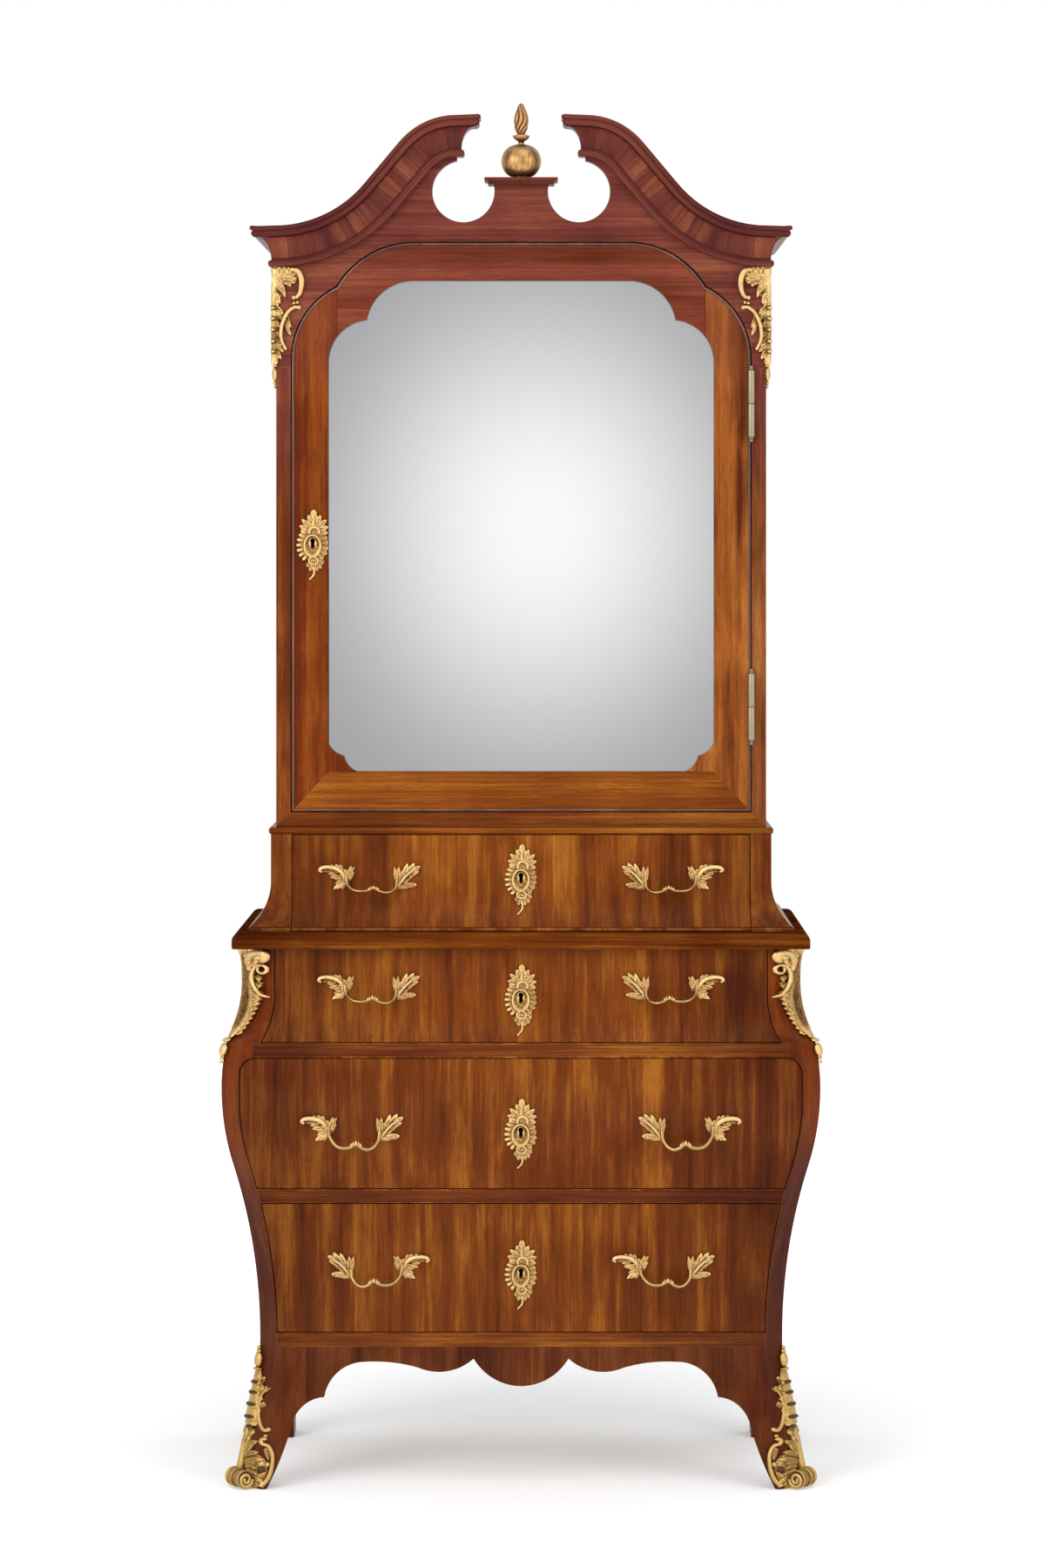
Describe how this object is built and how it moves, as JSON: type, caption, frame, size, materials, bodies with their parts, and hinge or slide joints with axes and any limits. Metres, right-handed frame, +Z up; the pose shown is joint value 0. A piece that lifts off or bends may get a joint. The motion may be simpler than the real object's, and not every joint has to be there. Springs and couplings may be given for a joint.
{
  "type": "secretary cabinet",
  "caption": "Rococo secretary cabinet: bombe chest of drawers with gilt mounts, waist drawer and mirrored cabinet door under a swan-neck pediment with a ball-and-flame finial.",
  "frame": {"origin": "on the floor under the middle of the bounding box", "axes": "+Z up, front of the cabinet towards -Y, +X to the right seen from the front"},
  "size_m": [0.9672, 0.5158, 2.211],
  "materials": {
    "mahogany": "polished red-brown mahogany veneer",
    "oak_inside": "plain planed inside wood",
    "gilt_bronze": "cast and gilt bronze",
    "hinge_brass": "worn brass",
    "lock_iron": "dark lock iron",
    "mirror_glass": "silvered plate glass"
  },
  "bodies": {
    "case": {"commode_top": "mahogany", "commode_side_left": "mahogany", "commode_side_right": "mahogany", "front_post_left": "mahogany", "front_post_right": "mahogany", "rear_legs": "mahogany", "drawer_rails": "mahogany", "front_apron": "mahogany", "dustboards": "oak_inside", "drawer_guides": "oak_inside", "back_panels": "oak_inside", "waist_side_left": "mahogany", "waist_side_right": "mahogany", "cabinet_base": "mahogany", "cabinet_side_left": "mahogany", "cabinet_side_right": "mahogany", "cabinet_roof": "oak_inside", "shelves": "oak_inside", "face_frame": "mahogany", "tympanum": "mahogany", "cornice_left": "mahogany", "cornice_right": "mahogany", "plinth_cap": "mahogany", "finial_ball": "gilt_bronze", "finial_flame": "gilt_bronze", "cabinet_mounts": "gilt_bronze", "chest_mounts": "gilt_bronze", "sabots": "gilt_bronze", "hinge_case_leaves": "hinge_brass"},
    "door": {"door_frame": "mahogany", "door_mirror": "mirror_glass", "door_panel": "oak_inside", "door_lock": "lock_iron", "door_escutcheon": "gilt_bronze", "hinge_door_leaves": "hinge_brass"},
    "door_bolt": {"door_bolt": "lock_iron"},
    "waist_drawer": {"waist_drawer_front": "mahogany", "waist_drawer_box": "oak_inside", "waist_drawer_lock": "lock_iron", "waist_escutcheon": "gilt_bronze", "waist_drawer_pulls": "gilt_bronze"},
    "waist_bolt": {"waist_drawer_bolt": "lock_iron"},
    "upper_drawer": {"upper_drawer_front": "mahogany", "upper_drawer_box": "oak_inside", "upper_drawer_lock": "lock_iron", "upper_escutcheon": "gilt_bronze", "upper_drawer_pulls": "gilt_bronze"},
    "upper_bolt": {"upper_drawer_bolt": "lock_iron"},
    "middle_drawer": {"middle_drawer_front": "mahogany", "middle_drawer_box": "oak_inside", "middle_drawer_lock": "lock_iron", "middle_escutcheon": "gilt_bronze", "middle_drawer_pulls": "gilt_bronze"},
    "middle_bolt": {"middle_drawer_bolt": "lock_iron"},
    "lower_drawer": {"lower_drawer_front": "mahogany", "lower_drawer_box": "oak_inside", "lower_drawer_lock": "lock_iron", "lower_escutcheon": "gilt_bronze", "lower_drawer_pulls": "gilt_bronze"},
    "lower_bolt": {"lower_drawer_bolt": "lock_iron"}
  },
  "joints": [
    {"name": "door_hinge", "type": "hinge", "parent": "case", "child": "door", "pos_m": [0.36975, -0.1601, 1.489], "axis": [0, 0, 1], "range_deg": [0, 120]},
    {"name": "door_bolt_slide", "type": "slide", "parent": "door", "child": "door_bolt", "axis": [-1, 0, 0], "range_m": [0, 0.016]},
    {"name": "waist_drawer_slide", "type": "slide", "parent": "case", "child": "waist_drawer", "axis": [0, -1, 0], "range_m": [0, 0.26]},
    {"name": "waist_bolt_slide", "type": "slide", "parent": "waist_drawer", "child": "waist_bolt", "axis": [0, 0, 1], "range_m": [0, 0.009]},
    {"name": "upper_drawer_slide", "type": "slide", "parent": "case", "child": "upper_drawer", "axis": [0, -1, 0], "range_m": [0, 0.3]},
    {"name": "upper_bolt_slide", "type": "slide", "parent": "upper_drawer", "child": "upper_bolt", "axis": [0, 0, 1], "range_m": [0, 0.009]},
    {"name": "middle_drawer_slide", "type": "slide", "parent": "case", "child": "middle_drawer", "axis": [0, -1, 0], "range_m": [0, 0.32]},
    {"name": "middle_bolt_slide", "type": "slide", "parent": "middle_drawer", "child": "middle_bolt", "axis": [0, 0, 1], "range_m": [0, 0.009]},
    {"name": "lower_drawer_slide", "type": "slide", "parent": "case", "child": "lower_drawer", "axis": [0, -1, 0], "range_m": [0, 0.3]},
    {"name": "lower_bolt_slide", "type": "slide", "parent": "lower_drawer", "child": "lower_bolt", "axis": [0, 0, 1], "range_m": [0, 0.009]}
  ]
}
